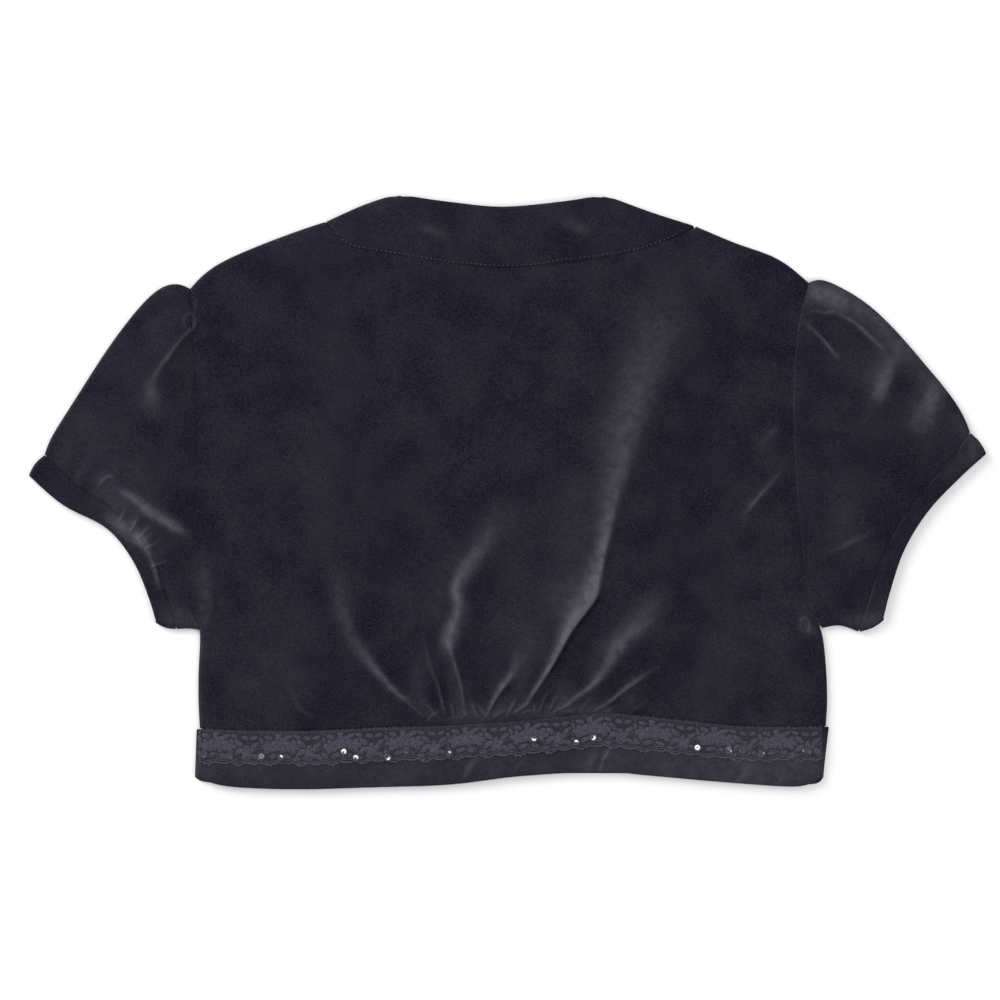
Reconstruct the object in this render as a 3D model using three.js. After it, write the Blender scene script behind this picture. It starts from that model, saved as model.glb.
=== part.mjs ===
// A cropped velvet shrug with short puff sleeves, laid flat with its back uppermost.
// The fronts lie on the ground, the back lies on them, and the sides and shoulders are folds between
// the two layers. Millimetres: +X is to the right when the back is looked down on, +Y runs from the
// waist to the neck, and +Z is up.
import * as THREE from "three";

// Thickness of each cloth
const VELVET = 1.6;
const FOLDED_BAND = 1.8;
const LACE = 0.8;

// How the layers and the seams lie
const SEAM_MARGIN = 0.2;
const CORNER_MARGIN = 0.35;
const LAYING_GAP = 0.3;
const LAYER_GAP = 1.2;
const TURN_ANGLES = [0, 45, 90];
const TURN_ANGLES_AT_SEAM = [7, 45, 90];

// How far the upper layer stands above its lowest level
const BACK_SWELL = 1.2;
const SLEEVE_PUFF = 3;
const BAND_SWELL = 0.9;
const BAND_WAVES = { count: 5, rise: 0.3 };
const EDGE_FADE = 14;
const WAIST_GATHERS = { count: 7, rise: 3.4, reach: 30, uneven: 0.35 };
const CUFF_GATHERS = { count: 9, from: 0.08, to: 0.8, rise: 2.2, reach: 22, uneven: 0.35 };
const CAP_GATHERS = { count: 4, from: 0, to: 0.3, rise: 1.8, reach: 26, uneven: 0.35 };

// The edges of the body on the left and on the right of the back
const SIDE_SEAM = [
  { at: "waist", left: [-203.4, -157], right: [210.4, -155.4] },
  { at: "mid side", left: [-204.8, -124], right: [211.6, -128] },
  { at: "underarm", left: [-202.3, -91.7], right: [208.2, -90.4] },
];
const ARMHOLE = [
  { at: "underarm", left: [-202.3, -91.7], right: [208.2, -90.4] },
  { at: "under the arm", left: [-208.6, -78], right: [200.5, -79] },
  { at: "low back", left: [-209, -48], right: [195, -42] },
  { at: "mid back", left: [-205, 8], right: [190, 12] },
  { at: "shoulder blade", left: [-205, 66], right: [188.5, 66] },
  { at: "below the cap", left: [-208, 104], right: [191.5, 107] },
  { at: "shoulder point", left: [-209.6, 133.8], right: [199, 137.8] },
];
const SHOULDER = [
  { at: "shoulder point", left: [-209.6, 133.8], right: [199, 137.8] },
  { at: "outer shoulder", left: [-194, 149], right: [179, 153.8] },
  { at: "mid shoulder", left: [-156, 165.8], right: [151, 164] },
  { at: "neck band", left: [-120.5, 178.2], right: [123.8, 175.4] },
];
const NECK_FOLD = [
  { at: "seam", left: [-120.5, 178.2], right: [123.8, 175.4] },
  { at: "middle", left: [-94, 190], right: [93, 185] },
  { at: "free edge", left: [-72, 196.6], right: [64.4, 195.8] },
];
const LEFT_FRONT_NECK = [
  { at: "waist", seam: [-46, -155], edge: [-4, -155] },
  { at: "midriff", seam: [-67, -62], edge: [-27, -52] },
  { at: "bust", seam: [-92, 30], edge: [-51, 40] },
  { at: "chest", seam: [-113, 115], edge: [-71, 124] },
  { at: "shoulder", seam: [-120.5, 178.2], edge: [-72, 196.6] },
];
const RIGHT_FRONT_NECK = [
  { at: "waist", seam: [47, -154], edge: [5, -154] },
  { at: "midriff", seam: [68, -62], edge: [28, -52] },
  { at: "bust", seam: [93, 30], edge: [52, 40] },
  { at: "chest", seam: [114, 115], edge: [71, 124] },
  { at: "shoulder", seam: [123.8, 175.4], edge: [64.4, 195.8] },
];
const BACK_NECK = [
  { at: "left shoulder", seam: [-120.5, 178.2], edge: [-72, 196.6] },
  { at: "left of the neck", seam: [-104, 162.4], edge: [-62, 194.4] },
  { at: "left of the middle", seam: [-66, 155], edge: [-38, 191] },
  { at: "middle", seam: [-4, 147.8], edge: [-4, 187.8] },
  { at: "right of the middle", seam: [63, 154.4], edge: [34, 191] },
  { at: "right of the neck", seam: [107, 166], edge: [54, 194] },
  { at: "right shoulder", seam: [123.8, 175.4], edge: [64.4, 195.8] },
];
const BACK_WAIST = [
  { at: "left side", seam: [-203.4, -157], hem: [-205.2, -187] },
  { at: "left corner", seam: [-197, -157.2], hem: [-196.6, -193.6] },
  { at: "left of the back", seam: [-146, -158.4], hem: [-146, -196.6] },
  { at: "left of the gathers", seam: [-88, -156.4], hem: [-88, -195.2] },
  { at: "left gathers", seam: [-38, -154.2], hem: [-38, -193.4] },
  { at: "middle", seam: [7, -151.4], hem: [7, -188] },
  { at: "right gathers", seam: [62, -146.4], hem: [62, -185] },
  { at: "right of the gathers", seam: [95, -149], hem: [95, -187.6] },
  { at: "right of the back", seam: [155, -155], hem: [155, -192.8] },
  { at: "right corner", seam: [203, -155.6], hem: [199, -194.8] },
  { at: "right side", seam: [210.4, -155.4], hem: [207.6, -187] },
];
const LEFT_FRONT_WAIST = [
  { at: "side", seam: [-203.4, -157], hem: [-205.2, -187] },
  { at: "corner", seam: [-197, -156.9], hem: [-197.6, -192.4] },
  { at: "middle", seam: [-100, -156], hem: [-100, -193.4] },
  { at: "front edge", seam: [-4, -155], hem: [-4, -187.4] },
];
const RIGHT_FRONT_WAIST = [
  { at: "side", seam: [210.4, -155.4], hem: [207.6, -187] },
  { at: "corner", seam: [203, -155.3], hem: [199, -193.8] },
  { at: "middle", seam: [100, -154.6], hem: [100, -186.8] },
  { at: "front edge", seam: [5, -154], hem: [5, -186.4] },
];

// The edges of the sleeves and the cuffs: the fold along the top of the arm and the fold under it
const SLEEVE_TOP = [
  { at: "shoulder point", left: [-209.6, 133.8], right: [199, 137.8] },
  { at: "cap", left: [-221, 139.4], right: [206.4, 141.6] },
  { at: "cap end", left: [-231, 135.4], right: [227, 131.6] },
  { at: "upper arm", left: [-257.4, 105], right: [248, 116.6] },
  { at: "mid arm", left: [-286.8, 59.4], right: [287.6, 70.2] },
  { at: "above the cuff", left: [-304.4, 32], right: [298.8, 57] },
  { at: "cuff seam", left: [-306, 24.3], right: [305.8, 39] },
];
const SLEEVE_UNDER = [
  { at: "underarm", left: [-202.3, -91.7], right: [208.2, -90.4] },
  { at: "middle", left: [-210.5, -90.8], right: [220, -88.6] },
  { at: "cuff seam", left: [-218.6, -91.2], right: [232, -93] },
];
const CUFF_SEAM = [
  { at: "top of the arm", left: [-306, 24.3], right: [305.8, 39] },
  { at: "upper", left: [-281, 2.2], right: [286, 14.4] },
  { at: "outer", left: [-255.6, -15.6], right: [265.6, -9.6] },
  { at: "middle", left: [-234.8, -41], right: [249.4, -37.6] },
  { at: "lower", left: [-224, -71], right: [238.8, -70] },
  { at: "underarm", left: [-218.6, -91.2], right: [232, -93] },
];
const CUFF_HEM = [
  { at: "top of the arm", left: [-316.4, 11], right: [316.4, 25.4] },
  { at: "upper", left: [-293.2, -9], right: [298.6, 9.2] },
  { at: "outer", left: [-264.4, -24.2], right: [277.4, -13.2] },
  { at: "middle", left: [-246.8, -46.4], right: [261.6, -39] },
  { at: "lower", left: [-236.6, -70.6], right: [251.9, -68] },
  { at: "underarm", left: [-231.6, -87.3], right: [247.6, -85.8] },
];
const CUFF_TOP = [
  { at: "cuff seam", left: [-306, 24.3], right: [305.8, 39] },
  { at: "middle", left: [-313.2, 18.8], right: [312.8, 33.2] },
  { at: "hem", left: [-316.4, 11], right: [316.4, 25.4] },
];
const CUFF_UNDER = [
  { at: "cuff seam", left: [-218.6, -91.2], right: [232, -93] },
  { at: "middle", left: [-226, -90.8], right: [241, -91] },
  { at: "hem", left: [-231.6, -87.3], right: [247.6, -85.8] },
];

// Soft folds: four places along the crest, the width of the slope to either side, and the height
const BACK_FOLDS = [
  { foot: [4, -148], knee: [40, -88], bend: [66, -6], tip: [112, 120], left: 15, right: 8, rise: 5.6 },
  { foot: [-12, -150], knee: [-33, -102], bend: [-35, -59], tip: [4, -4], left: 11, right: 8, rise: 4.4 },
  { foot: [-44, -150], knee: [-60, -128], bend: [-95, -100], tip: [-123, -18], left: 9, right: 9, rise: 3.6 },
  { foot: [40, -146], knee: [62, -128], bend: [90, -91], tip: [108, -55], left: 11, right: 7, rise: 4 },
  { foot: [-122, -150], knee: [-136, -142], bend: [-147, -126], tip: [-158, -94], left: 9, right: 8, rise: 2 },
  { foot: [184, 20], knee: [170, 2], bend: [157, -14], tip: [136, -36], left: 9, right: 9, rise: 2 },
];
const LEFT_SLEEVE_FOLDS = [
  { foot: [-214, 108], knee: [-224, 90], bend: [-231, 74], tip: [-240, 48], left: 11, right: 11, rise: 2.6 },
  { foot: [-276, 4], knee: [-258, 6], bend: [-238, -12], tip: [-214, -28], left: 10, right: 10, rise: 2.4 },
];
const RIGHT_SLEEVE_FOLDS = [
  { foot: [202, 124], knee: [219, 119], bend: [234, 108], tip: [256, 90], left: 11, right: 9, rise: 2.8 },
  { foot: [278, 66], knee: [273, 54], bend: [266, 40], tip: [252, 18], left: 10, right: 10, rise: 2.4 },
  { foot: [202, -44], knee: [214, -38], bend: [227, -33], tip: [240, -29], left: 9, right: 9, rise: 2 },
];
const FOLD_SAMPLES = 30;
const FOLD_WIDTH_AT_FOOT = 0.55;
const FOLD_WIDTH_GAIN = 0.9;
const FOLD_FADES_FROM = 0.45;

// Shares of the mesh. Pieces that meet at a seam take their points at the same places along it.
const BACK_SIDE_STEPS = 8;
const STEPS_PER_GATHER = 4;
const GATHERED_WAIST = { from: 0.35, to: 0.72 };
const SIDE_SEAM_SHARE = 0.23;
const SIDE_SEAM_ROWS = [0.12, 0.3, 0.6, 1];
const ARMHOLE_ROWS = [0.03, 0.07, 0.13, 0.21, 0.3, 0.39, 0.48, 0.57, 0.66, 0.75, 0.83, 0.9, 0.96];
const FRONT_STEPS = 8;
const SLEEVE_ROWS = [0.06, 0.15, 0.3, 0.48, 0.66, 0.82, 0.93];
const CUFF_ROWS = [0.5, 1];
const BAND_ROWS = [0.25, 0.5, 0.75];
const FRONT_WAIST_STEPS = 24;

// The lace, as shares of the length and the depth of the waistband
const LACE_ENDS = { from: 0.012, to: 0.988 };
const LACE_DEPTHS = [0.03, 0.3, 0.57];
const SCALLOPS = { count: 23, steps: 4, depth: 0.08 };

const smooth = (t) => THREE.MathUtils.smoothstep(t, 0, 1);
const evenly = (steps) => Array.from({ length: steps + 1 }, (_, i) => i / steps);
const inside = (steps) => evenly(steps).slice(1, -1);
const places = (table, name) => table.map((row) => row[name]);

// The radius of a fold, to the middle of the cloth that turns in it
const turnRadius = (thickness) => (LAYER_GAP + thickness) / 2;

// A smooth line in plan through some places, walked evenly from 0 to 1
function line(through) {
  const curve = new THREE.SplineCurve(through.map(([x, y]) => new THREE.Vector2(x, y)));
  return (t) => curve.getPointAt(THREE.MathUtils.clamp(t, 0, 1));
}

// The flat area between four lines: u runs along the near and far ones, v along the first and last
function area(near, far, first, last) {
  return (u, v) => {
    const place = near(u).multiplyScalar(1 - v).add(far(u).multiplyScalar(v));
    place.add(first(v).multiplyScalar(1 - u)).add(last(v).multiplyScalar(u));
    place.sub(near(0).multiplyScalar((1 - u) * (1 - v))).sub(near(1).multiplyScalar(u * (1 - v)));
    return place.sub(far(0).multiplyScalar((1 - u) * v)).sub(far(1).multiplyScalar(u * v));
  };
}

// Stations along a panel. One on the turn of a fold has its angle round it, and one at a seam has
// no roll. The others lie where they say.
const between = (shares) => shares.map((at) => ({ at }));
const seamAt = (at) => ({ at, angle: 0, roll: 0 });
const foldFrom = (at, angles) => angles.map((angle) => ({ at, angle, roll: 1 }));
const foldTo = (at, angles) => foldFrom(at, angles).reverse();

// Where a station really lies, moved in from its edge by the turn of the fold or the seam's margin,
// which is wider where a fold crosses the seam
function movedIn({ at, angle, roll }, crossing, length, thickness) {
  if (angle === undefined) return at;
  const atCorner = crossing.angle === undefined ? 0 : crossing.roll;
  const margin = THREE.MathUtils.lerp(SEAM_MARGIN + CORNER_MARGIN * atCorner, thickness / 2, roll);
  const inset = turnRadius(thickness) * (1 - Math.cos(THREE.MathUtils.degToRad(angle))) + margin;
  return at < 0.5 ? inset / length : 1 - inset / length;
}

// How far cloth on the turn of a fold is from the level of its layer
function fall({ angle, roll }, thickness) {
  if (angle === undefined) return 0;
  return roll * turnRadius(thickness) * (1 - Math.sin(THREE.MathUtils.degToRad(angle)));
}

// The middle of the cloth at one station across and one along, on the upper layer (1) or the lower
// one (-1)
function middleOf({ plan, thickness, relief }, across, along, layer) {
  const width = plan(0, along.at).distanceTo(plan(1, along.at));
  const height = plan(across.at, 0).distanceTo(plan(across.at, 1));
  const u = movedIn(across, along, width, thickness);
  const v = movedIn(along, across, height, thickness);
  const place = plan(u, v);
  const depth = Math.max(fall(across, thickness), fall(along, thickness));
  const raised = layer > 0 && relief ? relief(place, u, v, width, height) : 0;
  const radius = turnRadius(thickness);
  const z = radius + thickness / 2 + layer * (radius - depth) + raised;
  return new THREE.Vector3(place.x, place.y, z);
}

// The point past an open edge that gives the edge its slope: level, or turning under into a fold
function beyond(edge, inner, roll) {
  const level = new THREE.Vector3(2 * edge.x - inner.x, 2 * edge.y - inner.y, inner.z);
  const under = new THREE.Vector3(inner.x, inner.y, 2 * edge.z - inner.z);
  return level.lerp(under, roll);
}

// A closed wall of one thickness about rows of middle points. In a ring each row's end joins its
// start. The rolls say, for a row or a column and its first or last edge, how far it turns under.
function wall(rows, thickness, { ring = false, sideRoll = () => 0, endRoll = () => 0 } = {}) {
  const across = rows[0].length;
  const last = rows.length - 1;
  const columns = ring ? across : across - 1;
  const beside = (i, j) => {
    if (ring) return rows[j][(i + across) % across];
    if (i < 0) return beyond(rows[j][0], rows[j][1], sideRoll(j, 0));
    if (i === across) return beyond(rows[j][across - 1], rows[j][across - 2], sideRoll(j, 1));
    return rows[j][i];
  };
  const ahead = (i, j) => {
    if (j < 0) return beyond(rows[0][i], rows[1][i], endRoll(i, 0));
    if (j > last) return beyond(rows[last][i], rows[last - 1][i], endRoll(i, 1));
    return rows[j][i];
  };
  const outer = [];
  const inner = [];
  rows.forEach((row, j) => {
    row.forEach((middle, i) => {
      const half = beside(i + 1, j).clone().sub(beside(i - 1, j));
      half.cross(ahead(i, j + 1).clone().sub(ahead(i, j - 1))).setLength(thickness / 2);
      outer.push(middle.clone().add(half));
      inner.push(middle.clone().sub(half));
    });
  });
  const index = [];
  const quad = (a, b, c, d) => index.push(a, b, c, a, c, d);
  const over = (i, j) => j * across + (i % across);
  const under = (i, j) => over(i, j) + outer.length;
  for (let j = 0; j < last; j++) {
    for (let i = 0; i < columns; i++) {
      quad(over(i, j), over(i + 1, j), over(i + 1, j + 1), over(i, j + 1));
      quad(under(i, j + 1), under(i + 1, j + 1), under(i + 1, j), under(i, j));
    }
  }
  for (let i = 0; i < columns; i++) {
    quad(under(i, 0), under(i + 1, 0), over(i + 1, 0), over(i, 0));
    quad(under(i + 1, last), under(i, last), over(i, last), over(i + 1, last));
  }
  for (let j = 0; j < last && !ring; j++) {
    quad(under(0, j + 1), under(0, j), over(0, j), over(0, j + 1));
    quad(under(columns, j), under(columns, j + 1), over(columns, j + 1), over(columns, j));
  }
  const geometry = new THREE.BufferGeometry().setFromPoints([...outer, ...inner]);
  geometry.setIndex(index);
  geometry.computeVertexNormals();
  return geometry;
}

// A panel of the body on one layer. Its edges turn into folds where the rolls say so.
function panel(cloth, across, along, layer, sideRoll, endRoll) {
  const end = ({ at }) => (at > 0.5 ? 1 : 0);
  const rows = along.map((row) =>
    across.map((station) => {
      const rolledStation = { ...station, roll: sideRoll(row.at, end(station)) };
      const rolledRow = { ...row, roll: endRoll(station.at, end(row)) };
      return middleOf(cloth, rolledStation, rolledRow, layer);
    }),
  );
  return wall(rows, cloth.thickness, {
    sideRoll: (j, edge) => sideRoll(along[j].at, edge),
    endRoll: (i, edge) => endRoll(across[i].at, edge),
  });
}

// A flattened tube: its upper layer, the fold under the arm, its lower layer and the fold on top
function tube(cloth, upperStations, lowerStations, along) {
  const rows = along.map((row) => [
    ...upperStations.map((station) => middleOf(cloth, station, row, 1)),
    ...lowerStations.map((station) => middleOf(cloth, station, row, -1)).reverse(),
  ]);
  return wall(rows, cloth.thickness, { ring: true });
}

// How far a band's upper stretch swells between its edges, a little more at some places than others
function bandRelief(place, u, v, width) {
  const wave = BAND_WAVES.rise * Math.sin(2 * Math.PI * BAND_WAVES.count * u);
  return clearOf(u, width) * Math.sin(Math.PI * v) * (BAND_SWELL + wave);
}

// A long band, in stretches that lie on the lower or the upper layer with folds between them
function band(thickness, stretches, across) {
  const rows = stretches.flatMap(({ plan, along, layer }) => {
    const cloth = { plan, thickness, relief: bandRelief };
    return along.map((station) => across.map((row) => middleOf(cloth, station, row, layer)));
  });
  return wall(rows, thickness);
}

// The rise of a table of folds at a place. A fold is narrow at its foot and fades towards its tip.
function foldField(table) {
  const folds = table.map((fold) => ({
    ...fold,
    crest: evenly(FOLD_SAMPLES).map(line([fold.foot, fold.knee, fold.bend, fold.tip])),
  }));
  return (place) =>
    folds.reduce((sum, { crest, left, right, rise }) => {
      const reaches = crest.map((point) => point.distanceToSquared(place));
      const nearest = reaches.indexOf(Math.min(...reaches));
      const next = crest[Math.min(nearest + 1, FOLD_SAMPLES)];
      const heading = next.clone().sub(crest[Math.max(nearest - 1, 0)]);
      const isRight = heading.cross(place.clone().sub(crest[nearest])) < 0;
      const share = nearest / FOLD_SAMPLES;
      const width = (isRight ? right : left) * (FOLD_WIDTH_AT_FOOT + FOLD_WIDTH_GAIN * share);
      const fade = smooth((1 - share) / (1 - FOLD_FADES_FROM));
      return sum + rise * fade * Math.exp(-reaches[nearest] / width ** 2);
    }, 0);
}

// Gathers caught in a seam, some taller than others, dying away with the distance from it. The
// share runs from 0 to 1 along the gathered stretch.
function gathers({ count, rise, reach, uneven }, share, distance) {
  if (share <= 0 || share >= 1) return 0;
  const number = Math.floor(share * count);
  const height = rise * (1 + uneven * Math.sin(2 * number + 1));
  const wave = 0.5 - 0.5 * Math.cos(2 * Math.PI * share * count);
  return height * wave * Math.exp(-((distance / reach) ** 2));
}

// From 0 at the edges of a panel to 1 where it is well clear of them
const clearOf = (share, length) => smooth((Math.min(share, 1 - share) * length) / EDGE_FADE);

// Stations of the body from the waist to the shoulder
const bodyRows = [
  seamAt(0),
  ...between(SIDE_SEAM_ROWS.map((share) => share * SIDE_SEAM_SHARE)),
  ...between(ARMHOLE_ROWS.map((share) => SIDE_SEAM_SHARE + (1 - SIDE_SEAM_SHARE) * share)),
  ...foldTo(1, TURN_ANGLES_AT_SEAM),
];
const rollOfSide = (v) => (v <= SIDE_SEAM_SHARE ? 1 : 0);

// Stations across the back. They crowd together at the waist, where the cloth is gathered.
const backSteps = 2 * BACK_SIDE_STEPS + WAIST_GATHERS.count * STEPS_PER_GATHER;
const backShares = inside(backSteps);
const neckFrom = BACK_SIDE_STEPS / backSteps;
const neckTo = 1 - neckFrom;
const shareOfNeck = (u) => (u - neckFrom) / (neckTo - neckFrom);
function shareOfWaist(u) {
  const { from, to } = GATHERED_WAIST;
  if (u < neckFrom) return (u / neckFrom) * from;
  if (u > neckTo) return 1 - ((1 - u) / neckFrom) * (1 - to);
  return THREE.MathUtils.lerp(from, to, shareOfNeck(u));
}

// Stations round an arm, with twice as many on the upper layer, which is gathered
const lowerArmShares = ARMHOLE_ROWS.map((share) => 1 - share).reverse();
const upperArmShares = lowerArmShares.flatMap((share, i) => {
  const next = lowerArmShares[i + 1] ?? 1;
  return [share, (share + next) / 2];
});
const upperArm = [
  ...foldFrom(0, TURN_ANGLES),
  { at: lowerArmShares[0] / 2 },
  ...between(upperArmShares),
  ...foldTo(1, TURN_ANGLES),
];
const lowerArm = [
  ...foldFrom(0, TURN_ANGLES.slice(1)),
  ...between(lowerArmShares),
  ...foldTo(1, TURN_ANGLES.slice(1)),
];

const sideSeam = { left: line(places(SIDE_SEAM, "left")), right: line(places(SIDE_SEAM, "right")) };
const armhole = { left: line(places(ARMHOLE, "left")), right: line(places(ARMHOLE, "right")) };
const shoulder = { left: line(places(SHOULDER, "left")), right: line(places(SHOULDER, "right")) };
const frontNeck = { left: LEFT_FRONT_NECK, right: RIGHT_FRONT_NECK };
const frontWaist = { left: LEFT_FRONT_WAIST, right: RIGHT_FRONT_WAIST };
const backNeckSeam = line(places(BACK_NECK, "seam"));
const backWaistSeam = line(places(BACK_WAIST, "seam"));

// The side seam and the armhole of one side, end to end
const bodyEdge = (side) => (v) => {
  if (v <= SIDE_SEAM_SHARE) return sideSeam[side](v / SIDE_SEAM_SHARE);
  return armhole[side]((v - SIDE_SEAM_SHARE) / (1 - SIDE_SEAM_SHARE));
};

function backPanel() {
  const top = (u) => {
    if (u <= neckFrom) return shoulder.left(u / neckFrom);
    if (u >= neckTo) return shoulder.right((1 - u) / neckFrom);
    return backNeckSeam(shareOfNeck(u));
  };
  const bottom = (u) => backWaistSeam(shareOfWaist(u));
  const foldsAt = foldField(BACK_FOLDS);
  const relief = (place, u, v, width, height) => {
    const clearOfEnds = clearOf(v, height);
    const clearOfTop = v > 0.5 ? clearOfEnds : 1;
    const swell = BACK_SWELL * Math.sin(Math.PI * u) * clearOfEnds;
    const raised = foldsAt(place) + gathers(WAIST_GATHERS, shareOfNeck(u), v * height);
    return clearOf(u, width) * clearOfTop * (swell + raised);
  };
  const cloth = { plan: area(bottom, top, bodyEdge("left"), bodyEdge("right")), thickness: VELVET, relief };
  const across = [
    ...foldFrom(0, TURN_ANGLES_AT_SEAM),
    ...between(backShares),
    ...foldTo(1, TURN_ANGLES_AT_SEAM),
  ];
  const rollOfEnd = (u, end) => (end === 1 && (u <= neckFrom || u >= neckTo) ? 1 : 0);
  return panel(cloth, across, bodyRows, 1, rollOfSide, rollOfEnd);
}

function frontPanel(side) {
  const bottom = line([SIDE_SEAM[0][side], frontNeck[side][0].seam]);
  const neckSeam = line(places(frontNeck[side], "seam"));
  const cloth = { plan: area(bottom, shoulder[side], bodyEdge(side), neckSeam), thickness: VELVET };
  const across = [...foldFrom(0, TURN_ANGLES_AT_SEAM), ...between(inside(FRONT_STEPS)), seamAt(1)];
  const sideRoll = (v, end) => (end === 0 ? rollOfSide(v) : 0);
  const endRoll = (u, end) => end;
  return panel(cloth, across, bodyRows, -1, sideRoll, endRoll);
}

function sleeve(side, folds) {
  const plan = area(
    (u) => armhole[side](1 - u),
    line(places(CUFF_SEAM, side)),
    line(places(SLEEVE_TOP, side)),
    line(places(SLEEVE_UNDER, side)),
  );
  const foldsAt = foldField(folds);
  const relief = (place, u, v, width, height) => {
    const clearOfEnds = clearOf(v, height);
    const puff = SLEEVE_PUFF * Math.sin(Math.PI * u) * Math.sin(Math.PI * v);
    const atCuff = (u - CUFF_GATHERS.from) / (CUFF_GATHERS.to - CUFF_GATHERS.from);
    const atCap = (u - CAP_GATHERS.from) / (CAP_GATHERS.to - CAP_GATHERS.from);
    const cuffGathers = gathers(CUFF_GATHERS, atCuff, (1 - v) * height) * smooth(v);
    const capGathers = gathers(CAP_GATHERS, atCap, v * height);
    return clearOf(u, width) * (clearOfEnds * (foldsAt(place) + capGathers) + puff + cuffGathers);
  };
  const along = [seamAt(0), ...between(SLEEVE_ROWS), seamAt(1)];
  return tube({ plan, thickness: VELVET, relief }, upperArm, lowerArm, along);
}

function cuff(side) {
  const plan = area(
    line(places(CUFF_SEAM, side)),
    line(places(CUFF_HEM, side)),
    line(places(CUFF_TOP, side)),
    line(places(CUFF_UNDER, side)),
  );
  return tube({ plan, thickness: FOLDED_BAND }, upperArm, lowerArm, [seamAt(0), ...between(CUFF_ROWS)]);
}

// The band up one front, over the shoulders and round the back of the neck
function neckBand() {
  const neckFold = { left: line(places(NECK_FOLD, "left")), right: line(places(NECK_FOLD, "right")) };
  const frontPlan = (side) => {
    const [waist] = frontNeck[side];
    const seam = line(places(frontNeck[side], "seam"));
    const edge = line(places(frontNeck[side], "edge"));
    return area(seam, edge, line([waist.seam, waist.edge]), neckFold[side]);
  };
  const upFront = [
    seamAt(0),
    ...bodyRows.filter(({ angle }) => angle === undefined),
    ...foldTo(1, TURN_ANGLES.slice(1)),
  ];
  const acrossBack = [
    ...foldFrom(0, TURN_ANGLES),
    ...between(backShares.filter((u) => u > neckFrom && u < neckTo).map(shareOfNeck)),
    ...foldTo(1, TURN_ANGLES),
  ];
  const backPlan = area(backNeckSeam, line(places(BACK_NECK, "edge")), neckFold.left, neckFold.right);
  const stretches = [
    { plan: frontPlan("left"), along: upFront, layer: -1 },
    { plan: backPlan, along: acrossBack, layer: 1 },
    { plan: frontPlan("right"), along: upFront.toReversed(), layer: -1 },
  ];
  return band(FOLDED_BAND, stretches, [...between([1, ...BAND_ROWS.toReversed()]), seamAt(0)]);
}

// The plan of the waistband, and of the lace on it, across the back
const backWaistPlan = area(
  backWaistSeam,
  line(places(BACK_WAIST, "hem")),
  line([BACK_WAIST[0].seam, BACK_WAIST[0].hem]),
  line([BACK_WAIST.at(-1).seam, BACK_WAIST.at(-1).hem]),
);

// The band round the waist, open at the front
function waistband() {
  const frontPlan = (side) => {
    const [fold] = frontWaist[side];
    const end = frontWaist[side].at(-1);
    const seam = line(places(frontWaist[side], "seam"));
    const hem = line(places(frontWaist[side], "hem"));
    return area(seam, hem, line([fold.seam, fold.hem]), line([end.seam, end.hem]));
  };
  const acrossFront = [
    ...foldFrom(0, TURN_ANGLES.slice(1)),
    ...between([...inside(FRONT_WAIST_STEPS), 1]),
  ];
  const acrossBack = [
    ...foldFrom(0, TURN_ANGLES),
    ...between(backShares.map(shareOfWaist)),
    ...foldTo(1, TURN_ANGLES),
  ];
  const stretches = [
    { plan: frontPlan("left"), along: acrossFront.toReversed(), layer: -1 },
    { plan: backWaistPlan, along: acrossBack, layer: 1 },
    { plan: frontPlan("right"), along: acrossFront, layer: -1 },
  ];
  return band(FOLDED_BAND, stretches, [seamAt(0), ...between([...BAND_ROWS, 1])]);
}

// The scalloped lace across the back of the waistband, made from the band's points and moved out
function laceTrim() {
  const cloth = { plan: backWaistPlan, thickness: FOLDED_BAND, relief: bandRelief };
  const lift = FOLDED_BAND / 2 + LAYING_GAP + LACE / 2;
  const rows = evenly(SCALLOPS.count * SCALLOPS.steps).map((share) => {
    const at = THREE.MathUtils.lerp(LACE_ENDS.from, LACE_ENDS.to, share);
    const scallop = SCALLOPS.depth * Math.abs(Math.sin(Math.PI * SCALLOPS.count * share));
    return LACE_DEPTHS.map((depth, i) => {
      const reach = depth + (scallop * i) / (LACE_DEPTHS.length - 1);
      const middle = middleOf(cloth, { at }, { at: reach }, 1);
      return middle.setZ(middle.z + lift);
    });
  });
  return wall(rows, LACE);
}

const shrug = new THREE.Group();
const velvet = { color: 0x24252e, roughness: 0.9, metalness: 0 };
const lace = { color: 0x3b4150, roughness: 0.7, metalness: 0 };
function sew(name, geometry, finish) {
  const piece = new THREE.Mesh(geometry, new THREE.MeshStandardMaterial(finish));
  piece.name = name;
  shrug.add(piece);
}
sew("back_panel", backPanel(), velvet);
sew("front_left", frontPanel("left"), velvet);
sew("front_right", frontPanel("right"), velvet);
sew("sleeve_left", sleeve("left", LEFT_SLEEVE_FOLDS), velvet);
sew("sleeve_right", sleeve("right", RIGHT_SLEEVE_FOLDS), velvet);
sew("cuff_left", cuff("left"), velvet);
sew("cuff_right", cuff("right"), velvet);
sew("neck_band", neckBand(), velvet);
sew("waistband", waistband(), velvet);
sew("lace_trim", laceTrim(), lace);

// The origin is at the middle of the underside
const box = new THREE.Box3().setFromObject(shrug);
const middle = box.getCenter(new THREE.Vector3());
shrug.position.set(-middle.x, -middle.y, -box.min.z);

export default shrug;
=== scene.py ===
import math

import bmesh
import bpy
import numpy as np
from mathutils import Euler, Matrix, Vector
from mathutils.bvhtree import BVHTree


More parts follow.
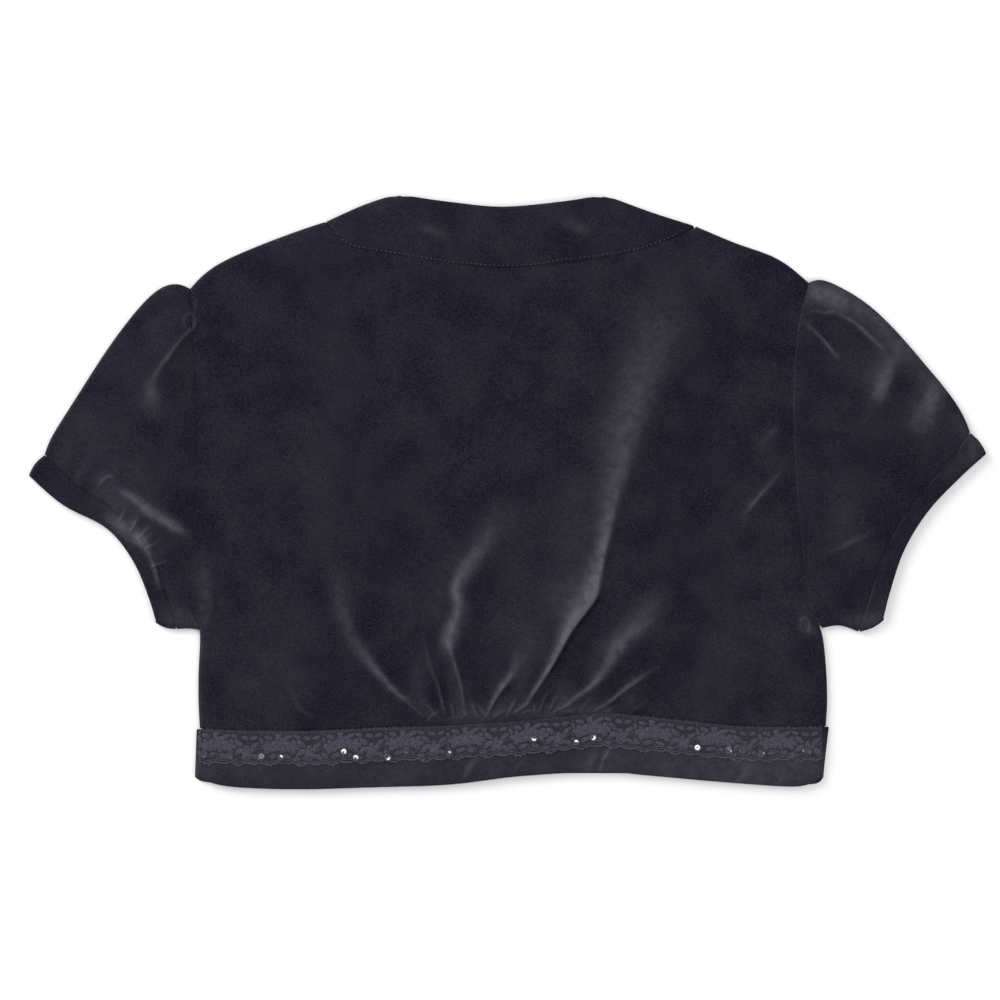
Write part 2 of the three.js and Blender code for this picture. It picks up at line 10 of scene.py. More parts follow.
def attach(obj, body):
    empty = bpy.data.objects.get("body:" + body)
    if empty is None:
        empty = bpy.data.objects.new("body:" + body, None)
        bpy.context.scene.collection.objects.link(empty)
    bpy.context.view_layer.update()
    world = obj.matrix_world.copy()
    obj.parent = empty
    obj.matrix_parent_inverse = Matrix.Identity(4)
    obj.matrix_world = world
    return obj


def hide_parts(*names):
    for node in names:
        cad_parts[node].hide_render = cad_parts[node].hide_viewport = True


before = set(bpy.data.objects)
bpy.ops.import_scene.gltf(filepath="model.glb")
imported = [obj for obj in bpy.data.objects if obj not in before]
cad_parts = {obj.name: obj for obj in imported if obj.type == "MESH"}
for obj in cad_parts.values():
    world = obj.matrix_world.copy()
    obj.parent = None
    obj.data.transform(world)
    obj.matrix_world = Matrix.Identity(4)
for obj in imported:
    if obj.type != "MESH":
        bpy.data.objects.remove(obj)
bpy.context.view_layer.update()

MM = 0.001
bpy.ops.object.select_all(action="DESELECT")

# The set: the camera looks straight down on the garment from far off, over a plain pale floor,
# with three broad soft lights and an even pale surround.
bpy.ops.object.camera_add(location=(-0.005, -0.006, 1.563), rotation=(0, 0, 0))
camera = bpy.context.object
camera.name = "camera"
camera.data.lens = 85
camera.data.sensor_width = 36
camera.data.clip_end = 20
bpy.context.scene.camera = camera
bpy.context.scene.view_settings.view_transform = "Standard"
bpy.context.scene.view_settings.look = "None"

bpy.ops.mesh.primitive_plane_add(size=8, location=(0, 0, -0.0004))
floor = bpy.context.object
floor.name = "floor"
floor_paint = bpy.data.materials.new("pale floor")
floor_paint.use_nodes = True
floor_paint.node_tree.nodes["Principled BSDF"].inputs["Base Color"].default_value = (0.9, 0.9, 0.9, 1)
floor_paint.node_tree.nodes["Principled BSDF"].inputs["Roughness"].default_value = 0.9
floor.data.materials.append(floor_paint)

surround = bpy.data.worlds.new("surround")
surround.use_nodes = True
surround.node_tree.nodes["Background"].inputs["Color"].default_value = (0.97, 0.98, 1, 1)
surround.node_tree.nodes["Background"].inputs["Strength"].default_value = 0.55
bpy.context.scene.world = surround


def soft_light(name, place, width, power):
    """A square soft light that faces the garment"""
    bpy.ops.object.light_add(type="AREA", location=place)
    lamp = bpy.context.object
    lamp.name = name
    lamp.data.size = width
    lamp.data.energy = power
    lamp.rotation_euler = lamp.location.to_track_quat("Z", "Y").to_euler()


soft_light("window light", (-1.5, 1.15, 1.25), 1.3, 34)
soft_light("fill light", (1.3, -0.9, 1.9), 1.6, 16)
soft_light("overhead light", (0.15, 0.35, 2.3), 0.5, 9)

# The velvet. The cloth is a short-pile cotton velvet, near-black blue. Each piece starts as its
# solid's form, is rounded, and gets its small folds and its painted highlights and shade from tables
# of strokes.
LAYER_MIDDLE = 2.4
LAYER_BLEND = 0.6
CUT_EDGE_ANGLE = math.radians(62)
CUT_EDGE_FIRMNESS = 0.7
CORNER_FIRMNESS = 0.9
SEAM_CLOSING = 0.19
WELD = 0.001
# Where strokes are felt more than this, the mesh is cut finer, once for each number
NARROW_STROKES = (0.08, 0.35)
UNEVEN_RISE = 0.25
# How much painted light follows the form: painted highlights on crests and on flanks turned to the
# window light, painted shade at edges that turn down, and a random tone on the lower layer
PAINTED_LIGHT_AND_TONE = {"crease": 0.16, "window_side_highlight": 0.3, "edge": 0.12, "under": 0.2, "least": -0.1, "most": 1.5}
WINDOW_SIDE = (-0.85, 0.5)
TURNED_DOWN = 0.8
# The velvet's patterns: how fine each one is, and how strongly it shows. The glints are painted
# glints of the pile, and the sheen mottling varies the painted highlights and shade
CLOUDS = {"scale": 38, "strength": 0.22}
SHEEN_MOTTLING = {"scale": 170, "strength": 1.6}
TUFTS = {"scale": 1000, "strength": 0.4}
GLINTS = {"scale": 1300, "above": 0.17, "strength": 2.2}


def take_alone(piece):
    """Selects one piece and nothing else"""
    bpy.ops.object.select_all(action="DESELECT")
    bpy.context.view_layer.objects.active = piece
    piece.select_set(True)


def firm_cut_edges(piece):
    """Keeps the cut edges of the cloth nearly square, and moves them out to meet at the seams"""
    cloth = bmesh.new()
    cloth.from_mesh(piece.data)
    firmness = cloth.edges.layers.float.new("crease_edge")
    corner_firmness = cloth.verts.layers.float.new("crease_vert")
    cut = {edge for edge in cloth.edges if edge.calc_face_angle(0) > CUT_EDGE_ANGLE}
    for edge in cut:
        edge[firmness] = CUT_EDGE_FIRMNESS
    for corner in cloth.verts:
        if sum(edge in cut for edge in corner.link_edges) >= 3:
            corner[corner_firmness] = CORNER_FIRMNESS
    outward = {}
    for face in cloth.faces:
        if sum(edge in cut for edge in face.edges) >= 2:
            for corner in face.verts:
                outward.setdefault(corner, []).append(face.normal)
    for corner, directions in outward.items():
        corner.co += sum(directions, Vector()) / len(directions) * SEAM_CLOSING * MM
    cloth.to_mesh(piece.data)
    cloth.free()


def cloth_from(node, name):
    """A new piece on the form of a CAD solid: its faces joined up, made four-sided and rounded"""
    piece = bpy.data.objects.new(name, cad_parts[node].data.copy())
    bpy.context.scene.collection.objects.link(piece)
    take_alone(piece)
    bpy.ops.object.mode_set(mode="EDIT")
    bpy.ops.mesh.select_all(action="SELECT")
    bpy.ops.mesh.remove_doubles(threshold=WELD * MM)
    bpy.ops.mesh.tris_convert_to_quads(face_threshold=math.pi, shape_threshold=math.pi)
    bpy.ops.object.mode_set(mode="OBJECT")
    piece.data.materials.clear()
    firm_cut_edges(piece)
    rounding = piece.modifiers.new("rounding", "SUBSURF")
    rounding.levels = 2
    rounding.render_levels = 2
    bpy.ops.object.modifier_apply(modifier=rounding.name)
    bpy.ops.object.shade_smooth()
    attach(piece, "root")
    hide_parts(node)
    return piece


def values_of(items, name, width):
    """One property of a mesh's points or faces, as rows of numbers"""
    values = np.zeros(len(items) * width, np.float32)
    items.foreach_get(name, values)
    return values.reshape(-1, width).astype(float)


def smooth_line(points, steps=6):
    """A smooth line through given points, with whatever columns they have"""
    points = np.array(points, float)
    padded = np.vstack([2 * points[0] - points[1], points, 2 * points[-1] - points[-2]])
    t = np.linspace(0, 1, steps, endpoint=False)[:, None]
    stretches = []
    for a, b, c, d in zip(padded, padded[1:], padded[2:], padded[3:]):
        bend = (2 * a - 5 * b + 4 * c - d) * t**2 + (3 * b - a - 3 * c + d) * t**3
        stretches.append(0.5 * (2 * b + (c - a) * t + bend))
    return np.vstack(stretches + [points[-1:]])


def stroke_at(points, places):
    """How strongly a stroke is felt at each place. Each of its points has x, y, its reach to the
    left and to the right as it runs, and its strength."""
    line = smooth_line(points)
    nearest = np.full(len(places), np.inf)
    on_left = np.zeros(len(places), bool)
    columns = np.zeros((len(places), 3))
    for start, end in zip(line, line[1:]):
        run = end[:2] - start[:2]
        away = places - start[:2]
        share = np.clip(away @ run / (run @ run), 0, 1)[:, None]
        distance = ((away - share * run) ** 2).sum(1)
        closer = distance < nearest
        nearest[closer] = distance[closer]
        on_left[closer] = (run[0] * away[:, 1] - run[1] * away[:, 0] > 0)[closer]
        columns[closer] = (start[2:] + share * (end[2:] - start[2:]))[closer]
    reach = np.where(on_left, columns[:, 0], columns[:, 1])
    return columns[:, 2] * np.exp(-nearest / np.maximum(reach, 0.3) ** 2)


def strokes_at(table, places):
    """The sum of a table of strokes"""
    return sum((stroke_at(points, places) for points in table), np.zeros(len(places)))


def unevenness(places):
    """Slow unevenness of cloth that was laid down by hand, from -1 to 1"""
    x, y = places.T
    return np.sin(x / 15 + 1.7 * np.sin(y / 27)) * np.sin(y / 22 + 1.4 * np.sin(x / 34 + 1))


def lay(piece, folds, shine, hidden_folds=()):
    """Gives a piece its small folds, and paints light and shade into its colour through a mesh
    attribute. Strokes of the tables act on the upper layer of cloth, and the hidden folds on the
    lower one."""
    take_alone(piece)
    for least in NARROW_STROKES:
        centres = values_of(piece.data.polygons, "center", 3) / MM
        felt = strokes_at(folds + shine, centres[:, :2])
        bpy.ops.object.mode_set(mode="EDIT")
        bpy.ops.mesh.select_mode(type="FACE")
        bpy.ops.mesh.select_all(action="DESELECT")
        bpy.ops.object.mode_set(mode="OBJECT")
        piece.data.polygons.foreach_set("select", (felt > least) & (centres[:, 2] > LAYER_MIDDLE))
        bpy.ops.object.mode_set(mode="EDIT")
        bpy.ops.mesh.subdivide(number_cuts=1)
        bpy.ops.object.mode_set(mode="OBJECT")

    places = values_of(piece.data.vertices, "co", 3) / MM
    plan = places[:, :2]
    upper = np.clip((places[:, 2] - LAYER_MIDDLE) / LAYER_BLEND + 0.5, 0, 1)
    fold = strokes_at(folds, plan)
    places[:, 2] += upper * (fold + UNEVEN_RISE * unevenness(plan))
    places[:, 2] += (1 - upper) * strokes_at(hidden_folds, plan)
    piece.data.vertices.foreach_set("co", (places * MM).astype(np.float32).ravel())
    piece.data.update()
    normals = values_of(piece.data.vertices, "normal", 3)
    # Painted highlight on flanks turned to the window light, and painted shade where edges turn down
    window_side_highlight = np.clip(WINDOW_SIDE[0] * normals[:, 0] + WINDOW_SIDE[1] * normals[:, 1], 0, 0.5)
    edge = np.clip(1 - normals[:, 2] / TURNED_DOWN, 0, 1)
    # Painted highlights from the shine strokes and on fold crests; the lower layer gets only a random
    # tone
    lean = strokes_at(shine, plan) + PAINTED_LIGHT_AND_TONE["crease"] * np.clip(fold, 0, 2) ** 1.5
    lean = lean + PAINTED_LIGHT_AND_TONE["window_side_highlight"] * window_side_highlight - PAINTED_LIGHT_AND_TONE["edge"] * edge
    lean = upper * lean + (1 - upper) * PAINTED_LIGHT_AND_TONE["under"] * np.clip(unevenness(plan), 0, 1)
    painted_light_and_tone = piece.data.attributes.new("painted_light_and_tone", "FLOAT", "POINT")
    painted_light_and_tone.data.foreach_set("value", np.clip(lean, PAINTED_LIGHT_AND_TONE["least"], PAINTED_LIGHT_AND_TONE["most"]).astype(np.float32))
    piece.data.materials.append(velvet)


def mixed(nodes, link, operation, first, second):
    """A Math node of two values, either of which may be a number or another node's output"""
    node = nodes.new("ShaderNodeMath")
    node.operation = operation
    for socket, value in zip(node.inputs, (first, second)):
        if isinstance(value, (int, float)):
            socket.default_value = value
        else:
            link(value, socket)
    return node.outputs["Value"]


def noise(nodes, link, place, scale, detail):
    """The value of a noise of the object's own space, spread about zero"""
    node = nodes.new("ShaderNodeTexNoise")
    node.inputs["Scale"].default_value = scale
    node.inputs["Detail"].default_value = detail
    link(place, node.inputs["Vector"])
    return mixed(nodes, link, "SUBTRACT", node.outputs["Fac"], 0.5)


def velvet_material(name, deep, pale, resting):
    """Velvet: its tone follows the painted highlights and shade of the mesh's attribute, with clouds
    where hands brushed it, the speckle of its tufts and painted glints. The resting tone is that of
    cloth that lies flat."""
    material = bpy.data.materials.new(name)
    material.use_nodes = True
    nodes = material.node_tree.nodes
    link = material.node_tree.links.new
    shader = nodes["Principled BSDF"]
    place = nodes.new("ShaderNodeTexCoord").outputs["Object"]
    painted_light_and_tone = nodes.new("ShaderNodeAttribute")
    painted_light_and_tone.attribute_name = "painted_light_and_tone"
    clouds = noise(nodes, link, place, CLOUDS["scale"], 3)
    sheen_mottling_noise = noise(nodes, link, place, SHEEN_MOTTLING["scale"], 3)
    tufts = noise(nodes, link, place, TUFTS["scale"], 2)
    # Painted glints of the pile: the peaks of a fine noise lighten the colour
    finest = noise(nodes, link, place, GLINTS["scale"], 1)
    glints = mixed(nodes, link, "MAXIMUM", finest, GLINTS["above"])
    glints = mixed(nodes, link, "SUBTRACT", glints, GLINTS["above"])
    # The painted highlights and shade, mottled at random
    mottling = mixed(nodes, link, "MULTIPLY", sheen_mottling_noise, SHEEN_MOTTLING["strength"])
    lean = mixed(nodes, link, "MULTIPLY", painted_light_and_tone.outputs["Fac"], mixed(nodes, link, "ADD", mottling, 1))
    clouded = mixed(nodes, link, "MULTIPLY", clouds, CLOUDS["strength"])
    speckled = mixed(nodes, link, "MULTIPLY", tufts, TUFTS["strength"])
    sparks = mixed(nodes, link, "MULTIPLY", glints, GLINTS["strength"])
    pile = mixed(nodes, link, "ADD", speckled, sparks)
    tone = mixed(nodes, link, "ADD", mixed(nodes, link, "ADD", lean, clouded), pile)
    # From the deep colour towards the pale one: the pale end gives both the flat cloth's tone and the
    # painted highlights
    colour = nodes.new("ShaderNodeMix")
    colour.data_type = "RGBA"
    colour.inputs["A"].default_value = (*deep, 1)
    colour.inputs["B"].default_value = (*pale, 1)
    link(mixed(nodes, link, "ADD", tone, resting), colour.inputs["Factor"])
    link(colour.outputs["Result"], shader.inputs["Base Color"])
    bump = nodes.new("ShaderNodeBump")
    bump.inputs["Strength"].default_value = 0.5
    bump.inputs["Distance"].default_value = 0.5 * MM
    link(tufts, bump.inputs["Height"])
    link(bump.outputs["Normal"], shader.inputs["Normal"])
    shader.inputs["Roughness"].default_value = 0.85
    shader.inputs["Specular IOR Level"].default_value = 0.12
    shader.inputs["Sheen Weight"].default_value = 0.1
    shader.inputs["Sheen Roughness"].default_value = 0.4
    shader.inputs["Sheen Tint"].default_value = (0.62, 0.62, 0.75, 1)
    return material


velvet = velvet_material("near-black velvet", (0.002, 0.0016, 0.0084), (0.09, 0.087, 0.108), 0.082)

# The body: a back cut in one piece, gathered into the middle of the waistband, and two plain fronts
# that lie under it. Its folds fan out of the gathers, and the longest runs up to the right shoulder.
# Each point of a stroke: x, y, reach to its left, reach to its right, and rise or strength.
BACK_CREASES = [
    # The long fold towards the right shoulder
    [(5, -146, 1.2, 1, 1), (13, -140, 1.5, 1.1, 1.5), (17, -133, 2, 1.2, 1.6),
     (29, -115, 2.6, 1.3, 1.8), (43, -90, 5, 1.5, 2), (56, -73, 7, 1.8, 2),
     (60.5, -62, 7, 2, 1.9), (63, -45, 6, 2.2, 1.6), (69, -14, 7, 4, 0.9), (77, 20, 9, 7, 0)],
    # The crooked fold and the thin one left of it
    [(-28, -146, 1.2, 1.2, 0.9), (-31, -126, 1.5, 1.3, 1.4), (-37, -107, 1.8, 1.8, 1.5),
     (-38, -97, 4, 3, 1.5), (-32, -78, 4, 3, 1.3), (-33, -61, 4, 4, 1.2), (-23, -44, 5, 5, 0.8),
     (0, -12, 7, 7, 0)],
    [(-41, -146, 1, 1, 0.9), (-43, -139, 1.2, 1.2, 1.2), (-46, -127, 1.3, 1.3, 1.1),
     (-51, -114, 1.5, 1.5, 0.8), (-56, -88, 2, 2, 0)],
    # The fold that leans left
    [(-56, -148, 1, 1, 0.9), (-71, -135, 1.4, 1.4, 1.3), (-84, -121, 3, 2.5, 1.3),
     (-104, -92, 5, 4, 0.7), (-120, -22, 8, 8, 0)],
    [(-45, -150, 0.9, 0.9, 0.8), (-51, -143, 1.1, 1.1, 1.1), (-60, -138, 1.5, 1.5, 0)],
    # The short fold left of the long one, and small ones right of it
    [(-13, -147, 1, 1, 1), (-8, -137, 2.2, 1.2, 1.6), (-2, -128, 3, 1.6, 1.4),
     (4, -121, 3, 3, 0.6), (10, -108, 4, 4, 0)],
    [(21, -146, 0.9, 0.9, 0.9), (24, -138, 1.1, 1.1, 1.1), (27, -133, 1.2, 1.2, 0.8),
     (33, -128, 1.5, 1.5, 0)],
    [(28, -144, 0.9, 0.9, 0.9), (31, -139, 1, 1, 0.9), (34, -134, 1.4, 1.4, 0)],
    # The folds that lean right
    [(31, -146, 1, 1, 0.9), (39, -141, 1.6, 1, 1.4), (45, -136, 1.6, 1.2, 1.5),
     (55, -129, 2, 1.6, 1.2), (64, -119, 3, 3, 0.9), (74, -101, 5, 4, 0.9), (93, -82, 6, 5, 0.5),
     (106, -56, 7, 7, 0)],
    [(58, -145, 1, 1, 0.7), (68, -139, 1.3, 1.2, 1.1), (79, -130, 1.5, 1.4, 1.2),
     (90, -122, 1.8, 1.5, 0.8), (104, -113, 2, 2, 0)],
    # Small gathers
    [(0, -148, 1, 1, 0.8), (3, -142, 1.2, 1.2, 1), (8, -135, 1.5, 1.5, 0)],
    [(-20, -149, 1, 1, 0.8), (-22, -143, 1.1, 1.1, 1), (-24, -136, 1.3, 1.3, 0)],
    [(-35, -150, 1, 1, 0.8), (-36, -144, 1.1, 1.1, 0.9), (-38, -138, 1.3, 1.3, 0)],
    [(48, -145, 1, 1, 0.8), (52, -140, 1.1, 1.1, 0.8), (58, -136, 1.3, 1.3, 0)],
    [(81, -147, 1, 1, 0.6), (87, -142, 1.2, 1.2, 0.6), (96, -138, 1.5, 1.5, 0)],
    # A lone crease near the left side
    [(-127, -149, 1.4, 1.4, 0.5), (-136, -144, 1.6, 1.6, 0.8), (-146, -126, 3, 3, 0)],
    # The finest gathers, right above the seam
    [(-52, -151, 0.8, 0.8, 0.8), (-47, -146, 0.9, 0.9, 0.9), (-40, -144, 1, 1, 0)],
    [(-30, -150, 0.8, 0.8, 0.9), (-27, -147, 0.9, 0.9, 0.9), (-22, -146, 1, 1, 0)],
    [(-14, -149, 0.7, 0.7, 0.9), (-17, -144, 0.9, 0.9, 1), (-21, -139, 1, 1, 0)],
    [(-9, -149, 0.7, 0.7, 0.9), (-4, -146, 0.8, 0.8, 1), (1, -145, 1, 1, 0)],
    [(10, -147, 0.7, 0.7, 0.9), (14, -145, 0.8, 0.8, 0.8), (19, -145, 1, 1, 0)],
    [(17, -147, 0.7, 0.7, 0.8), (18, -142, 0.8, 0.8, 0.9), (16, -137, 1, 1, 0)],
    [(36, -146, 0.7, 0.7, 0.8), (42, -145, 0.8, 0.8, 0.9), (50, -143, 1, 1, 0)],
    [(66, -146, 0.8, 0.8, 0.7), (70, -143, 0.9, 0.9, 0.6), (76, -141, 1, 1, 0)],
    # Creases beside the armholes
    [(152, -21, 1.4, 1.2, 0), (165, -5, 1.6, 1.2, 0.7), (180, 13, 1.4, 1.2, 0)],
    [(172, 36, 2, 2, 0), (177, 40, 2, 2, 0.6), (182, 43, 2, 2, 0)],
    [(-188, -36, 3, 3, 0), (-182, -32, 3, 2, 0.5), (-174, -30, 3, 2, 0)],
]
# Painted highlights on the back: strokes that lighten the velvet's colour; a negative strength paints
# shade
BACK_SHINE = [
    # Painted highlights on the flanks of the folds, in the order of the creases
    [(13, -140, 1.5, 0.8, 0.2), (29, -115, 3, 0.8, 0.35), (40, -94, 7, 0.9, 0.5),
     (51, -79, 11, 1, 0.66), (58, -66, 11, 1.1, 0.72), (61, -50, 9, 1.2, 0.56),
     (67, -22, 8, 2.4, 0.38), (73.5, 8, 10, 4.5, 0.36), (83, 50, 16, 9, 0.32),
     (98, 92, 22, 14, 0.2), (120, 142, 26, 18, 0.02)],
    [(-37, -107, 3, 3, 0.1), (-39, -99, 5, 5, 0.42), (-33, -80, 4, 6, 0.35),
     (-33, -62, 4, 5, 0.4), (-18, -38, 6, 8, 0.26), (4, -6, 12, 12, 0)],
    [(-62, -140, 1.5, 1.5, 0.1), (-76, -130, 3, 2, 0.28), (-92, -110, 4, 3, 0.18),
     (-106, -86, 5, 5, 0.12), (-116, -40, 9, 9, 0)],
    [(-10, -140, 1.5, 0.8, 0.2), (-3, -129, 2.6, 1, 0.4), (2, -122, 2.5, 1.5, 0.3),
     (10, -106, 4, 5, 0)],
    [(40, -141, 2, 1.2, 0.3), (56, -129, 2.4, 1.4, 0.3), (66, -116, 4, 3, 0.26),
     (76, -100, 7, 5, 0.32), (92, -84, 8, 7, 0.2), (108, -60, 9, 9, 0)],
    # Broad painted highlights, where the velvet's sheen shows lighter
    [(-150, 60, 30, 30, 0), (-130, 20, 26, 26, 0.05), (-130, -30, 26, 26, 0)],
    [(186, -150, 30, 14, 0.05), (180, -100, 34, 16, 0.05), (160, -30, 36, 30, 0.02)],
    [(128, -148, 12, 12, 0.06), (134, -110, 14, 14, 0.04), (140, -70, 16, 16, 0)],
    [(-170, -148, 26, 26, 0.06), (-158, -110, 28, 28, 0.07), (-152, -66, 28, 28, 0.01)],
    # Beside the right armhole
    [(150, -24, 4, 4, 0), (166, -4, 5, 3, 0.06), (180, 14, 5, 3, 0.05), (190, 26, 4, 4, 0)],
    [(152, -21, 1, 1, 0), (163, -7.5, 1.2, 1, 0.2), (173, 4, 1.2, 1, 0.24),
     (180, 12.5, 1, 1, 0.04)],
    [(160, 22, 4, 4, 0), (170, 34, 5, 4, 0.1), (180, 42, 4, 4, 0)],
    # Along the gathers and the waist seam
    [(-50, -147, 5, 5, 0.05), (-10, -145, 5, 5, 0.13), (30, -143, 5, 5, 0.13),
     (66, -144, 4, 4, 0.05)],
    [(-62, -153.5, 2.5, 2.5, 0), (-38, -151.5, 3, 3, 0.15), (7, -149, 3, 3, 0.17),
     (62, -144.5, 3, 3, 0.12), (86, -146.5, 2.5, 2.5, 0)],
    # The lower fold that leans right
    [(58, -144, 1.2, 1, 0.08), (68, -138, 1.5, 1, 0.16), (79, -130, 1.8, 1.2, 0.22),
     (90, -122, 2, 1.4, 0.12), (104, -113, 2, 2, 0)],
    # A lighter place between the folds
    [(-8, -118, 14, 14, 0), (6, -86, 20, 20, 0.05), (14, -50, 22, 22, 0.03),
     (20, -14, 22, 22, 0)],
    # Painted shadow: the dark line behind the long fold
    [(22, -128, 0.8, 0.8, 0), (31.5, -113.5, 1, 1, -0.12), (46, -89.5, 1.1, 1.1, -0.14),
     (58.5, -73.5, 1.1, 1.1, -0.12), (64, -60, 1, 1, 0)],
]
ARMHOLE_CREASES = [
    [(-213, 114, 1, 1, 0.6), (-209, 117, 1, 1, 0.8), (-205.5, 112, 1, 1, 0.8),
     (-208, 106, 1, 1, 0.8), (-212.5, 109, 1, 1, 0.7), (-213, 114, 1, 1, 0.6)],
    [(-206, 118, 0.9, 0.9, 0.3), (-205, 124, 0.9, 0.9, 0.6), (-210, 131, 0.9, 0.9, 0.3)],
    [(193.5, -86, 1, 1, 0.6), (197, -84, 1, 1, 0.9), (200, -88, 1, 1, 0.9),
     (198.5, -94, 1, 1, 0.7), (194.5, -93, 1, 1, 0.6), (193.5, -86, 1, 1, 0.6)],
    [(200, 112, 1, 1, 0.3), (199, 107, 1, 1, 0.7), (203, 102, 1, 1, 0.3)],
]
# Painted highlights beside the armholes
ARMHOLE_SHINE = [
    [(-202, -34, 5, 5, 0), (-200, -56, 5, 5, 0.1), (-200, -78, 5, 5, 0.16),
     (-203, -90, 5, 5, 0.1)],
    [(196, -84, 3, 3, 0.1), (197, -90, 3, 3, 0.16), (202, -93, 3, 3, 0.1)],
]
FRONT_CREASES = [
    [(-160, -150, 5, 4, 0), (-150, -110, 7, 5, 0.5), (-158, -50, 9, 6, 0)],
    [(-96, -148, 5, 5, 0.3), (-104, -96, 8, 6, 0.5), (-120, -20, 10, 8, 0)],
    [(150, -148, 5, 5, 0.3), (160, -84, 8, 6, 0.5), (150, -10, 10, 8, 0)],
    [(100, -140, 5, 4, 0), (112, -80, 7, 6, 0.5), (132, 20, 9, 9, 0)],
]

back = cloth_from("back_panel", "back")
# The gathers are caught flat in the waist seam, and rise to their full height a little above it
SEAM_HEIGHT = 4.5
SEAM_HOLD = 6
WAIST_SIDES = (-205, 207)
SEAM_SAMPLE = 3
in_back = values_of(back.data.vertices, "co", 3) / MM
seam_x = np.linspace(*WAIST_SIDES, 70)
seam_y = np.array([in_back[np.abs(in_back[:, 0] - x) < SEAM_SAMPLE][:, 1].min() for x in seam_x])
above_seam = np.clip((in_back[:, 1] - np.interp(in_back[:, 0], seam_x, seam_y)) / SEAM_HOLD, 0, 1)
held = np.maximum(in_back[:, 2] - SEAM_HEIGHT, 0) * (1 - above_seam**2 * (3 - 2 * above_seam))
in_back[:, 2] -= held
back.data.vertices.foreach_set("co", (in_back * MM).astype(np.float32).ravel())
lay(back, BACK_CREASES + ARMHOLE_CREASES, BACK_SHINE + ARMHOLE_SHINE)
for side in ("left", "right"):
    front = cloth_from(f"front_{side}", f"front.{side}")
    lay(front, [], [], FRONT_CREASES)

# The sleeves: short puffs, gathered into the armhole at the top and into a narrow folded cuff below.
# Each is a tube that lies flattened, so its folds show on the upper layer.
SLEEVE_CREASES = [
    # The left sleeve
    [(-208, 107, 1, 1, 0.6), (-211, 104, 1.1, 1.1, 1), (-217, 97, 1.2, 1.2, 1.3),
     (-224, 87, 1.5, 1.5, 1.2), (-229, 80, 2, 2, 1.1), (-234, 69, 4, 4, 0.8),
     (-236, 54, 7, 7, 0)],
    [(-270, 2, 1.2, 1.2, 0.4), (-266, 7, 1.3, 1.3, 0.9), (-260, 9, 1.5, 1.5, 0.7),
     (-256, 3, 1.5, 1.5, 0)],
    [(-258, 2, 1.5, 1.5, 0.2), (-247, -5, 3, 2.2, 0.7), (-234, -15.5, 4, 2.6, 0.9),
     (-223, -22, 4, 2.6, 0.8), (-208, -30, 3, 3, 0)],
    # Gathers at the left cuff
    [(-249, -27, 1, 1, 0.9), (-245, -21, 1.2, 1.2, 0.9), (-242, -16, 1.5, 1.5, 0)],
    [(-243, -31, 1, 1, 0.9), (-238, -26, 1.2, 1.2, 0.8), (-233, -22, 1.5, 1.5, 0)],
    [(-238, -38, 1, 1, 0.9), (-232, -35, 1.2, 1.2, 0.7), (-227, -32, 1.5, 1.5, 0)],
    [(-256, -20, 1, 1, 0.7), (-253, -15, 1.2, 1.2, 0.7), (-250, -9, 1.5, 1.5, 0)],
    [(-234, -50, 1, 1, 0.7), (-228, -48, 1.2, 1.2, 0.6), (-223, -47, 1.5, 1.5, 0)],
    # The right sleeve
    [(201, 118, 1.2, 1.2, 0.7), (210, 117, 1.4, 1.4, 1), (216, 117, 1.5, 1.5, 1),
     (226, 112, 2, 1.4, 1.2), (234, 106, 2, 1.4, 1.2), (241, 99, 2.2, 1.6, 1.1),
     (250, 91, 3, 3, 0)],
    [(197, 111, 1, 1, 0.7), (207, 101, 1.2, 1.2, 1), (214, 93, 1.4, 1.4, 1), (220, 87, 2, 2, 0)],
    [(257, 90, 6, 3, 0), (250, 77, 6, 2.5, 1.2), (245, 66, 6, 2.5, 1.3), (240, 56, 6, 3, 0)],
    [(285, 72, 5, 4, 0.5), (280, 64, 7, 4, 1.2), (272, 48, 7, 4, 0.9), (264, 36, 7, 5, 0)],
    [(210, -42, 2, 2, 0.3), (225, -35, 2, 2, 0.9), (236, -30, 2, 2, 0.7), (250, -22, 3, 3, 0)],
]
